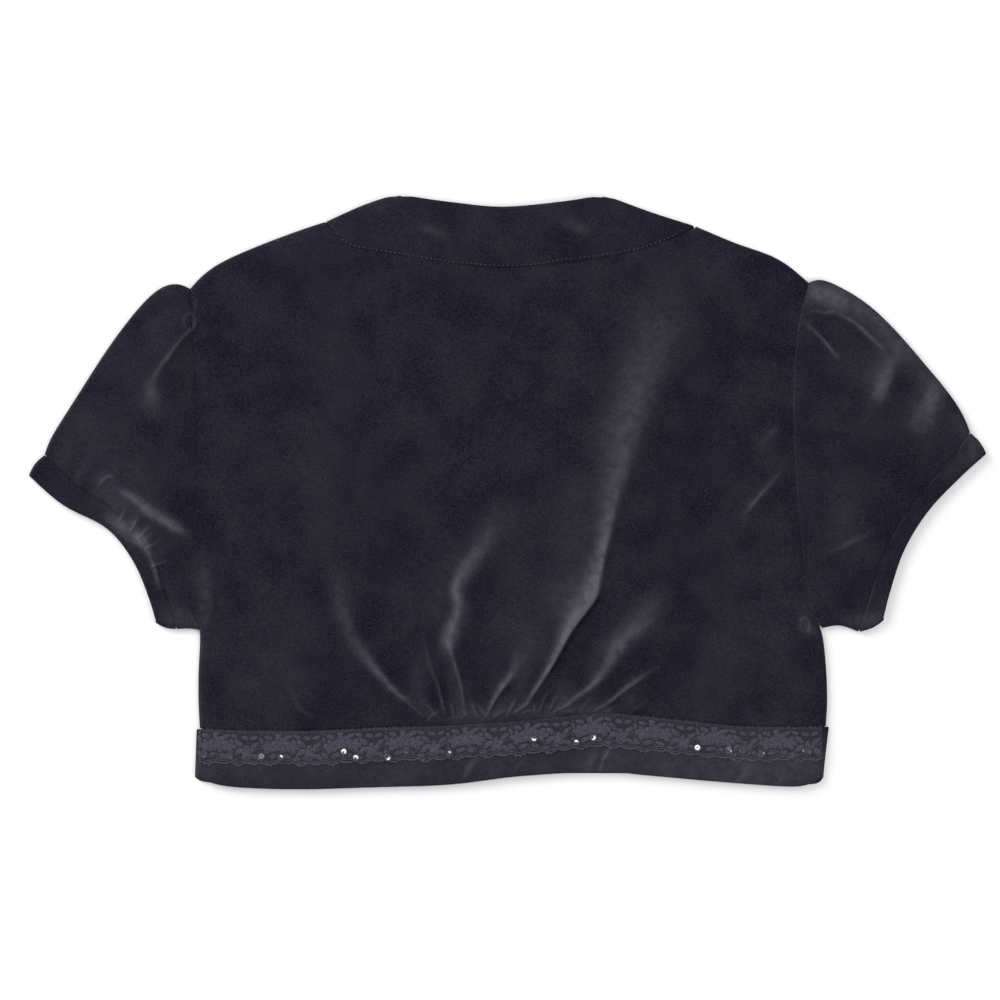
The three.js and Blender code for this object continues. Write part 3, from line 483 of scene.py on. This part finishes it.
# Painted highlights on the sleeves and cuffs
SLEEVE_SHINE = [
    # The left sleeve and cuff
    [(-231, 72, 4, 4, 0), (-234, 66, 5, 5, 0.2), (-235, 56, 8, 8, 0.13), (-238, 44, 9, 9, 0)],
    [(-256, 0, 2, 2, 0.1), (-247, -5, 3.2, 2.4, 0.36), (-234, -15.5, 4, 2.8, 0.5),
     (-223, -22, 4.2, 3, 0.5), (-211, -29, 3, 3, 0.1)],
    [(-268, -14, 4, 4, 0), (-262, -18, 4.5, 4.5, 0.26), (-254, -24, 5, 5, 0.46),
     (-243, -32, 4, 4, 0.6), (-236, -43, 1.8, 1.8, 0.42), (-231, -60, 1.2, 1.2, 0.3),
     (-229, -66, 1.2, 1.2, 0)],
    [(-286, 14, 9, 9, 0.02), (-266, -2, 12, 10, 0.1), (-250, -20, 12, 8, 0.12),
     (-236, -40, 10, 6, 0)],
    [(-232, -80, 8, 8, 0.05), (-220, -84, 9, 8, 0.16), (-208, -84, 8, 8, 0.1)],
    [(-284, 40, 20, 20, 0.03), (-262, 30, 24, 20, 0.05), (-236, 10, 20, 20, 0.03)],
    # The right sleeve and cuff
    [(202, 132, 7, 7, 0.42), (214, 128, 8, 7, 0.56), (230, 121, 9, 7, 0.36),
     (250, 107, 9, 8, 0.28), (266, 90, 9, 9, 0.2), (282, 72, 8, 8, 0.1)],
    [(264, 92, 3, 10, 0.05), (254, 84, 3, 12, 0.24), (249, 70, 3, 13, 0.3), (243, 56, 5, 12, 0.1),
     (230, 44, 10, 10, 0)],
    [(200, 108, 0.9, 0.9, 0.05), (208, 100, 1, 1, 0.2), (215, 91.5, 1.1, 1.1, 0.2),
     (221, 84, 1, 1, 0)],
    [(216, 117.5, 1, 1, 0), (226, 113, 1.1, 1, 0.16), (238, 102.5, 1.1, 1, 0.26),
     (251, 90.5, 1, 1, 0.1)],
    [(292, 74, 4, 8, 0.05), (286, 64, 5, 14, 0.24), (277, 48, 6, 14, 0.2), (268, 34, 8, 10, 0)],
    [(296, 46, 6, 6, 0.08), (308, 31, 7, 7, 0.2), (296, 16, 6, 6, 0.08), (272, -4, 6, 6, 0)],
    [(222, -86, 5, 5, 0.08), (236, -86, 5, 5, 0.2), (248, -80, 5, 5, 0.08), (252, -66, 4, 4, 0)],
    [(226, 10, 12, 12, 0), (222, -14, 12, 12, 0.06), (226, -40, 12, 12, 0.03)],
]
for side in ("left", "right"):
    sleeve = cloth_from(f"sleeve_{side}", f"sleeve.{side}")
    lay(sleeve, SLEEVE_CREASES + ARMHOLE_CREASES, SLEEVE_SHINE + ARMHOLE_SHINE)
    cuff = cloth_from(f"cuff_{side}", f"cuff.{side}")
    lay(cuff, SLEEVE_CREASES, SLEEVE_SHINE)

# The neck band: one doubled ribbon of velvet, up one front, round the back of the neck and down the
# other front, folded along its upper edge and sewn to the body along its lower one with a row of
# small stitches.
NECK_CREASES = [
    [(-66, 176, 2, 2, 0), (-54, 171, 2, 2, 0.5), (-40, 165, 2, 2, 0)],
    [(34, 176, 2.5, 2.5, 0), (44, 173, 2.5, 2, 0.5), (56, 172, 3, 3, 0)],
]
# Painted highlights on the neck band
NECK_SHINE = [
    [(-62, 177, 2, 2, 0), (-50, 172, 3, 3, 0.12), (-36, 167, 4, 4, 0)],
    [(20, 184, 6, 5, 0), (36, 179, 7, 5, 0.07), (48, 173, 4, 3, 0.12), (60, 172, 5, 4, 0)],
]
NECK_STITCH = {"length": 1.3, "gap": 1.7, "thickness": 0.36, "above seam": 1.2}
# Along a stitch: how far along a point is, and how high over the cloth
STITCH_ARCH = [(0, -0.25), (0.2, 0.12), (0.8, 0.12), (1, -0.25)]
NECK_SEAM = [(-112, 166.5), (-100, 160.5), (-76, 156.4), (-41, 150.7), (-5, 147.7), (20.8, 148.8),
             (36, 151.6), (63, 154.6), (88, 159.4), (106, 165.8), (114, 170.5)]

# The band's upper edge turns softly at the two shoulders: place along x, and how far it is rounded
NECK_PEAKS = [(-71.5, 1.7), (63.5, 1.5)]
PEAK_WIDTH = 5.5
PEAK_REACH = (184, 195)

neck_band = cloth_from("neck_band", "neck.band")
rounded = values_of(neck_band.data.vertices, "co", 3) / MM
at_edge = np.clip((rounded[:, 1] - PEAK_REACH[0]) / (PEAK_REACH[1] - PEAK_REACH[0]), 0, 1)
for x, drop in NECK_PEAKS:
    rounded[:, 1] -= drop * np.exp(-(((rounded[:, 0] - x) / PEAK_WIDTH) ** 2)) * at_edge
neck_band.data.vertices.foreach_set("co", (rounded * MM).astype(np.float32).ravel())
lay(neck_band, NECK_CREASES, NECK_SHINE)


def top_of(piece):
    """A piece's surface, to find its height from above"""
    return BVHTree.FromObject(piece, bpy.context.evaluated_depsgraph_get())


def height_at(surface, x, y):
    """How high a surface is at a place, in millimetres"""
    hit = surface.ray_cast(Vector((x * MM, y * MM, 0.1)), Vector((0, 0, -1)))[0]
    return hit.z / MM if hit else LAYER_MIDDLE


def walk(line, step):
    """Places along a line, an even step apart, with the heading at each"""
    line = smooth_line(line, 12)
    reach = np.concatenate([[0], np.cumsum(np.hypot(*np.diff(line[:, :2], axis=0).T))])
    at = np.arange(0, reach[-1], step)
    x, y = (np.interp(at, reach, column) for column in line[:, :2].T)
    heading = np.arctan2(np.gradient(y), np.gradient(x))
    return list(zip(x, y, heading))


def sew(name, line, surface, stitch, thread):
    """A row of stitches along a line, each a short thread whose ends go down into the cloth"""
    rows = bpy.data.curves.new(name, "CURVE")
    rows.dimensions = "3D"
    rows.bevel_depth = stitch["thickness"] / 2 * MM
    rows.bevel_resolution = 0
    for x, y, heading in walk(line, stitch["length"] + stitch["gap"]):
        spline = rows.splines.new("POLY")
        spline.points.add(3)
        for point, (share, rise) in zip(spline.points, STITCH_ARCH):
            px = x + stitch["length"] * share * math.cos(heading)
            py = y + stitch["length"] * share * math.sin(heading)
            z = height_at(surface, px, py) + rise
            point.co = (px * MM, py * MM, z * MM, 1)
    piece = bpy.data.objects.new(name, rows)
    bpy.context.scene.collection.objects.link(piece)
    take_alone(piece)
    bpy.ops.object.convert(target="MESH")
    piece = bpy.context.object
    bpy.ops.object.shade_smooth()
    piece.data.materials.clear()
    piece.data.materials.append(thread)
    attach(piece, "root")
    return piece


def thread_material(name, dark, light, twist_scale):
    """Twisted thread: two tones in fine streaks, matt"""
    material = bpy.data.materials.new(name)
    material.use_nodes = True
    nodes = material.node_tree.nodes
    link = material.node_tree.links.new
    shader = nodes["Principled BSDF"]
    place = nodes.new("ShaderNodeTexCoord").outputs["Object"]
    streaks = noise(nodes, link, place, twist_scale, 2)
    colour = nodes.new("ShaderNodeMix")
    colour.data_type = "RGBA"
    colour.inputs["A"].default_value = (*dark, 1)
    colour.inputs["B"].default_value = (*light, 1)
    spread = mixed(nodes, link, "MULTIPLY", streaks, 2.2)
    link(mixed(nodes, link, "ADD", spread, 0.5), colour.inputs["Factor"])
    link(colour.outputs["Result"], shader.inputs["Base Color"])
    bump = nodes.new("ShaderNodeBump")
    bump.inputs["Strength"].default_value = 0.4
    bump.inputs["Distance"].default_value = 0.15 * MM
    link(streaks, bump.inputs["Height"])
    link(bump.outputs["Normal"], shader.inputs["Normal"])
    shader.inputs["Roughness"].default_value = 0.6
    shader.inputs["Sheen Weight"].default_value = 0.1
    return material


seam_thread = thread_material("grey seam thread", (0.008, 0.008, 0.014), (0.1, 0.1, 0.13), 80)
neck_line = [(x, y + NECK_STITCH["above seam"]) for x, y in NECK_SEAM]
sew("neck.stitches", neck_line, top_of(neck_band), NECK_STITCH, seam_thread)

# The waistband: a doubled ribbon of velvet round the waist, open at the front, with its fold at the
# hem. It creases lightly below the gathers.
BAND_CREASES = [
    [(-28, -188, 1.5, 1.5, 0.5), (-23, -180, 1.5, 1.5, 0.7), (-17, -173, 2, 2, 0)],
    [(4, -186, 1.5, 1.5, 0.3), (11, -178, 1.5, 1.5, 0.4), (15, -172, 2, 2, 0)],
    [(54, -186, 2, 2, 0.4), (58, -176, 2, 2, 0.5), (62, -166, 2, 2, 0)],
    [(61.5, -184, 1.2, 1.2, 0.5), (64, -176, 1.3, 1.3, 0.7), (69, -169, 1.5, 1.5, 0)],
    [(157, -191, 2, 2, 0.3), (161, -184, 2, 2, 0.5), (166, -176, 2, 2, 0)],
]
# Painted highlights on the waistband
BAND_SHINE = [
    [(-28, -188, 2.5, 2, 0.1), (-23, -181, 2, 2, 0.14), (-17, -174, 2, 2, 0)],
    [(50, -186, 5, 3, 0.1), (54, -178, 5, 3, 0.1), (56, -170, 4, 3, 0)],
    [(70, -180, 16, 16, 0.12), (110, -182, 18, 18, 0.22), (160, -184, 18, 18, 0.26),
     (204, -182, 14, 14, 0.22)],
    [(-202, -184, 14, 14, 0.14), (-130, -186, 18, 18, 0.13), (-50, -184, 18, 18, 0.13),
     (60, -180, 16, 16, 0.12)],
    [(100, -192, 1.2, 1.2, 0.05), (106, -186, 1.2, 1.2, 0.12), (110, -178, 1.2, 1.2, 0)],
    [(150, -194, 1.2, 1.2, 0.15), (156, -186, 1.2, 1.2, 0.12), (160, -180, 1.2, 1.2, 0)],
    [(178, -194, 1.5, 1.5, 0.1), (182, -188, 1.5, 1.5, 0.1), (184, -182, 1.5, 1.5, 0)],
    [(61.5, -184, 1, 1, 0.12), (64, -176, 1.1, 1.1, 0.2), (69, -169, 1.1, 1.1, 0.08)],
]
waistband = cloth_from("waistband", "waistband.ribbon")
lay(waistband, BAND_CREASES, BAND_SHINE)

# The lace: a scalloped floral trim laid over the upper part of the waistband, of fine net with
# flowers and leaves in close stitching, outlined with a thicker cord, and sewn along its top edge.
# It is worked flat, one repeat at a time, and then laid on the band.
REPEAT = 40.7
REPEATS = 10
NET = {"cell": 1.45, "row": 1.25, "from": 0.6, "to": 24, "thickness": 0.42}
# Each scallop along one repeat: where it starts and ends, and how far it dips below the roots
SCALLOPS = [(0, 11.4, 2), (11.4, 20.6, 1.2), (20.6, 31, 2.4), (31, 40.7, 1.5)]
SCALLOP_ROOT = 20.4
EDGE_SNAG = 0.35
# Flowers: along, down, petals, reach and turn. Leaves: along, down, length, width and turn.
FLOWERS = [(12.4, 8.6, 6, 5.6, 0.2), (4.6, 10.6, 5, 4.2, 0.7), (20, 10.2, 5, 4.4, 0.1),
           (31.4, 14, 5, 4.4, 0.9)]
LEAVES = [(26, 8.2, 6.4, 2.4, 0.7), (25.4, 14.2, 6.4, 2.4, -0.7), (36.8, 9.4, 6, 2.2, 2.5),
          (37.4, 17, 5, 2, 0.5), (8.2, 16.4, 5.6, 2.2, -0.3), (16.2, 16.6, 5.6, 2.2, 0.4),
          (23, 18.6, 4, 1.8, 0.1), (30, 4.6, 4.4, 1.8, 0.2), (36, 4.4, 4, 1.7, 2.8),
          (0.8, 16.2, 4.4, 1.9, 0.6), (4.6, 4.2, 5, 2, 0.3), (18, 3.8, 4.6, 1.8, 2.8),
          (23, 3.6, 3.8, 1.6, 0.4), (11, 2.6, 3.6, 1.5, 0), (0.2, 6.4, 3.6, 1.6, 1.2)]
CORD = 0.55
STEM = 0.45
STEMS = [[(0, 10.4), (0.8, 9), (2.4, 9.4)], [(23.2, 11), (25, 12), (28.6, 12.6)],
         [(33.6, 11.6), (36, 12.6), (40.7, 10.4)], [(11.4, 14.6), (12.4, 17.4), (15, 18.6)],
         [(26.4, 17.4), (29, 18.4), (33, 18.2)]]
EDGE_CORD = 0.8
INNER_CORD = {"above edge": 1.5, "thickness": 0.45}
PICOT = 0.4
EDGE_STEPS = 56
# Loops along the top edge: place along it, and rise
TOP_LOOPS = [(2, 0.6), (5.4, 1.2), (8.2, 0.5), (12, 1), (14.6, 0.7), (19, 1.3), (22.4, 0.5),
             (26.8, 1), (29.4, 0.6), (33.6, 1.3), (36.4, 0.8), (39.6, 1.1)]
TOP_LOOP = 0.32
PETAL_BODY = 0.24


def oval(s, t, length, width, turn, points=12):
    """A closed leaf or petal shape, a little wider towards its far end"""
    ring = []
    for i in range(points):
        a = 2 * math.pi * i / points
        along = length / 2 * math.cos(a)
        across = width / 2 * math.sin(a) * (1 + 0.25 * math.cos(a))
        ring.append((s + along * math.cos(turn) - across * math.sin(turn),
                     t + along * math.sin(turn) + across * math.cos(turn)))
    return ring


def lace_curve(name):
    """An empty bundle of threads"""
    curve = bpy.data.curves.new(name, "CURVE")
    curve.dimensions = "3D"
    curve.bevel_depth = MM / 2
    curve.bevel_resolution = 0
    curve.fill_mode = "FULL"
    curve.use_fill_caps = True
    return curve


def add_thread(curve, places, thickness, height=0, closed=False):
    """A thread of the flat lace, through places along it and down from its top edge"""
    spline = curve.splines.new("POLY")
    spline.points.add(len(places) - 1)
    for point, (s, t) in zip(spline.points, places):
        point.co = (s * MM, -t * MM, height * MM, 1)
        point.radius = thickness
    spline.use_cyclic_u = closed


def scallop_edge(s):
    """How far down the lace reaches at a place along one repeat"""
    for start, end, dip in SCALLOPS:
        if start <= s <= end:
            snag = EDGE_SNAG * math.sin(2 * math.pi * 7 * s / REPEAT + 2 * math.sin(s))
            return SCALLOP_ROOT + dip * math.sin(math.pi * (s - start) / (end - start)) + snag
    return SCALLOP_ROOT


net = lace_curve("net")
cells = round(REPEAT / NET["cell"])
rows = round((NET["to"] - NET["from"]) / NET["row"])
for row in range(rows):
    line = []
    for i in range(2 * cells + 1):
        swing = NET["row"] / 2 * (1 if (i + row) % 2 else -1)
        s = REPEAT * i / (2 * cells)
        t = NET["from"] + NET["row"] * row + swing
        if t < scallop_edge(s) - 0.3:
            line.append((s, t))
        elif line:
            add_thread(net, line, NET["thickness"])
            line = []
    if len(line) > 1:
        add_thread(net, line, NET["thickness"])

cords = lace_curve("cords")
petals = []
for s, t, count, reach, turn in FLOWERS:
    for i in range(count):
        a = turn + 2 * math.pi * i / count
        petals.append(oval(s + 0.62 * reach * math.cos(a), t + 0.62 * reach * math.sin(a),
                           0.78 * reach, 3 * reach / count, a))
    petals.append(oval(s, t, 0.5 * reach, 0.5 * reach, 0, 8))
for s, t, length, width, turn in LEAVES:
    petals.append(oval(s, t, length, width, turn, 10))
for petal in petals:
    add_thread(cords, petal, CORD, 0.2, closed=True)
edge = []
for i in range(EDGE_STEPS + 1):
    edge.append((REPEAT * i / EDGE_STEPS, scallop_edge(REPEAT * i / EDGE_STEPS)))
add_thread(cords, edge, EDGE_CORD, 0.15)
inner_edge = [(s, t - INNER_CORD["above edge"]) for s, t in edge]
add_thread(cords, inner_edge, INNER_CORD["thickness"], 0.15)
for s, t in edge[1::4]:
    add_thread(cords, [(s - 0.6, t), (s, t + 0.9), (s + 0.6, t)], PICOT, 0.1)
for s, rise in TOP_LOOPS:
    loop = [(s - 1, 1.4), (s - 0.4, 0.4 - rise), (s + 0.4, 0.3 - rise), (s + 1, 1.2)]
    add_thread(cords, loop, TOP_LOOP)
for stem in STEMS:
    add_thread(cords, [tuple(place) for place in smooth_line(stem, 4)], STEM, 0.15)

fillings = bpy.data.meshes.new("fillings")
worked = bmesh.new()
for petal in petals:
    worked.faces.new([worked.verts.new((s * MM, -t * MM, 0.05 * MM)) for s, t in petal])
bmesh.ops.recalc_face_normals(worked, faces=worked.faces)
worked.to_mesh(fillings)
worked.free()

lace_parts = []
for name, data in (("net", net), ("cords", cords), ("fillings", fillings)):
    part = bpy.data.objects.new(name, data)
    bpy.context.scene.collection.objects.link(part)
    take_alone(part)
    if data is fillings:
        body = part.modifiers.new("body", "SOLIDIFY")
        body.thickness = PETAL_BODY * MM
        body.offset = 0
        bpy.ops.object.modifier_apply(modifier=body.name)
    else:
        bpy.ops.object.convert(target="MESH")
    part = bpy.context.object
    part.data.materials.clear()
    lace_parts.append(part)
net_thread = thread_material("lace net thread", (0.04, 0.0395, 0.062), (0.098, 0.097, 0.142), 620)
cord_thread = thread_material("lace cord", (0.022, 0.0222, 0.038), (0.078, 0.078, 0.118), 520)
filling_thread = thread_material("lace filling stitches", (0.012, 0.012, 0.022),
                                 (0.051, 0.051, 0.08), 620)
for part, thread in zip(lace_parts, (net_thread, cord_thread, filling_thread)):
    part.data.materials.append(thread)
take_alone(lace_parts[1])
lace_parts[2].select_set(True)
bpy.ops.object.join()
lace_parts[0].name = "lace.net"
lace_parts[1].name = "lace.flowers"

LACE_ENDS = (-203.6, 207.4)
LACE_ABOVE_SEAM = -0.1
LACE_LIFT = 0.3
LEAST_BAND_HEIGHT = 4
# The lace wanders a little on the band, more towards its scallops
WANDER = {"swing": 0.25, "wave": 11, "depth": 20}
waist_top = top_of(waistband)
stretch = (LACE_ENDS[1] - LACE_ENDS[0]) / (REPEAT * REPEATS)
for part in lace_parts[:2]:
    take_alone(part)
    row_of = part.modifiers.new("repeats", "ARRAY")
    row_of.count = REPEATS
    row_of.use_relative_offset = False
    row_of.use_constant_offset = True
    row_of.constant_offset_displace = (REPEAT * MM, 0, 0)
    bpy.ops.object.modifier_apply(modifier=row_of.name)
    flat = values_of(part.data.vertices, "co", 3) / MM
    laid = np.zeros_like(flat)
    laid[:, 0] = LACE_ENDS[0] + flat[:, 0] * stretch
    wander = WANDER["swing"] * np.sin(laid[:, 0] / WANDER["wave"]) * flat[:, 1] / WANDER["depth"]
    laid[:, 1] = np.interp(laid[:, 0], seam_x, seam_y) + LACE_ABOVE_SEAM + flat[:, 1] + wander
    for place, height in zip(laid, flat[:, 2]):
        band_height = max(height_at(waist_top, place[0], place[1]), LEAST_BAND_HEIGHT)
        place[2] = band_height + LACE_LIFT + height
    part.data.vertices.foreach_set("co", (laid * MM).astype(np.float32).ravel())
    part.data.update()
    bpy.ops.object.shade_smooth()
    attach(part, "root")
lace_net, lace_flowers = lace_parts[:2]
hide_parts("lace_trim")

LACE_STITCH = {"length": 1.5, "gap": 2.3, "thickness": 0.34}
lace_line = [(x, y + LACE_ABOVE_SEAM - 1) for x, y in zip(seam_x[1:-1:4], seam_y[1:-1:4])]
sew("lace.stitches", lace_line, top_of(lace_flowers), LACE_STITCH, seam_thread)

# The sequins: small cup sequins of clear dark plastic, sewn along the lower part of the lace. A cup
# has flat facets round a hole, and the ones turned to the light glint.
SEQUIN = {"across": 5.2, "facets": 10, "wall": 0.16, "lift": 0.75}
# From the rim inwards: the width of each ring as a share of the last one, and how far it drops
SEQUIN_RINGS = [(0.9, 0.05), (0.74, 0.7), (0.28, 0.05)]
# Places on the lace, and how far each leans and which way, in degrees
SEQUINS = [(-200.3, -173.6, 17, 250), (-183.2, -174.2, 16, 200), (-162, -174.9, 15, 330),
           (-149.5, -175.6, 16, 56), (-107.9, -171.6, 12, 62), (-100, -175.6, 13, 63),
           (-78.9, -175.6, 9, 50), (-67, -170.9, 16, 250), (-38.6, -172.9, 15, 73),
           (-24.1, -170.3, 17, 95), (17.5, -163, 6, 82), (45.2, -165.7, 13, 88),
           (56.4, -162.4, 8, 70), (125.1, -169, 9.6, 103), (145.5, -170.9, 16, 20),
           (154.8, -170.3, 17, 240), (166.7, -173.6, 17, 60), (187.1, -174.2, 15, 180),
           (197, -170.9, 17, 150), (204.5, -171.8, 5, 160)]
bpy.ops.mesh.primitive_circle_add(vertices=SEQUIN["facets"], radius=SEQUIN["across"] / 2 * MM)
cup = bpy.context.object
bpy.ops.object.mode_set(mode="EDIT")
bpy.ops.mesh.select_mode(type="EDGE")
bpy.ops.mesh.select_all(action="SELECT")
for width, drop in SEQUIN_RINGS:
    bpy.ops.mesh.extrude_region_move(TRANSFORM_OT_translate={"value": (0, 0, -drop * MM)})
    bpy.ops.transform.resize(value=(width, width, 1))
bpy.ops.object.mode_set(mode="OBJECT")
wall = cup.modifiers.new("wall", "SOLIDIFY")
wall.thickness = SEQUIN["wall"] * MM
bpy.ops.object.modifier_apply(modifier=wall.name)
bpy.ops.object.shade_flat()

sequin_plastic = bpy.data.materials.new("sequin plastic")
sequin_plastic.use_nodes = True
sequin_shader = sequin_plastic.node_tree.nodes["Principled BSDF"]
sequin_shader.inputs["Base Color"].default_value = (0.05, 0.052, 0.068, 1)
sequin_shader.inputs["Metallic"].default_value = 0.4
sequin_shader.inputs["Roughness"].default_value = 0.08
sequin_shader.inputs["Coat Weight"].default_value = 1
sequin_shader.inputs["Coat Roughness"].default_value = 0.05
cup.data.materials.append(sequin_plastic)
for number, (x, y, lean, heading) in enumerate(SEQUINS, 1):
    sequin = bpy.data.objects.new(f"sequin.{number:02d}", cup.data.copy())
    bpy.context.scene.collection.objects.link(sequin)
    turned = Euler((0, math.radians(lean), math.radians(heading))).to_matrix().to_4x4()
    sequin.data.transform(turned)
    lowest = min(corner.co.z for corner in sequin.data.vertices) / MM
    z = height_at(waist_top, x, y) + SEQUIN["lift"] - lowest
    for corner in sequin.data.vertices:
        corner.co += Vector((x, y, z)) * MM
    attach(sequin, "root")
bpy.data.objects.remove(cup)
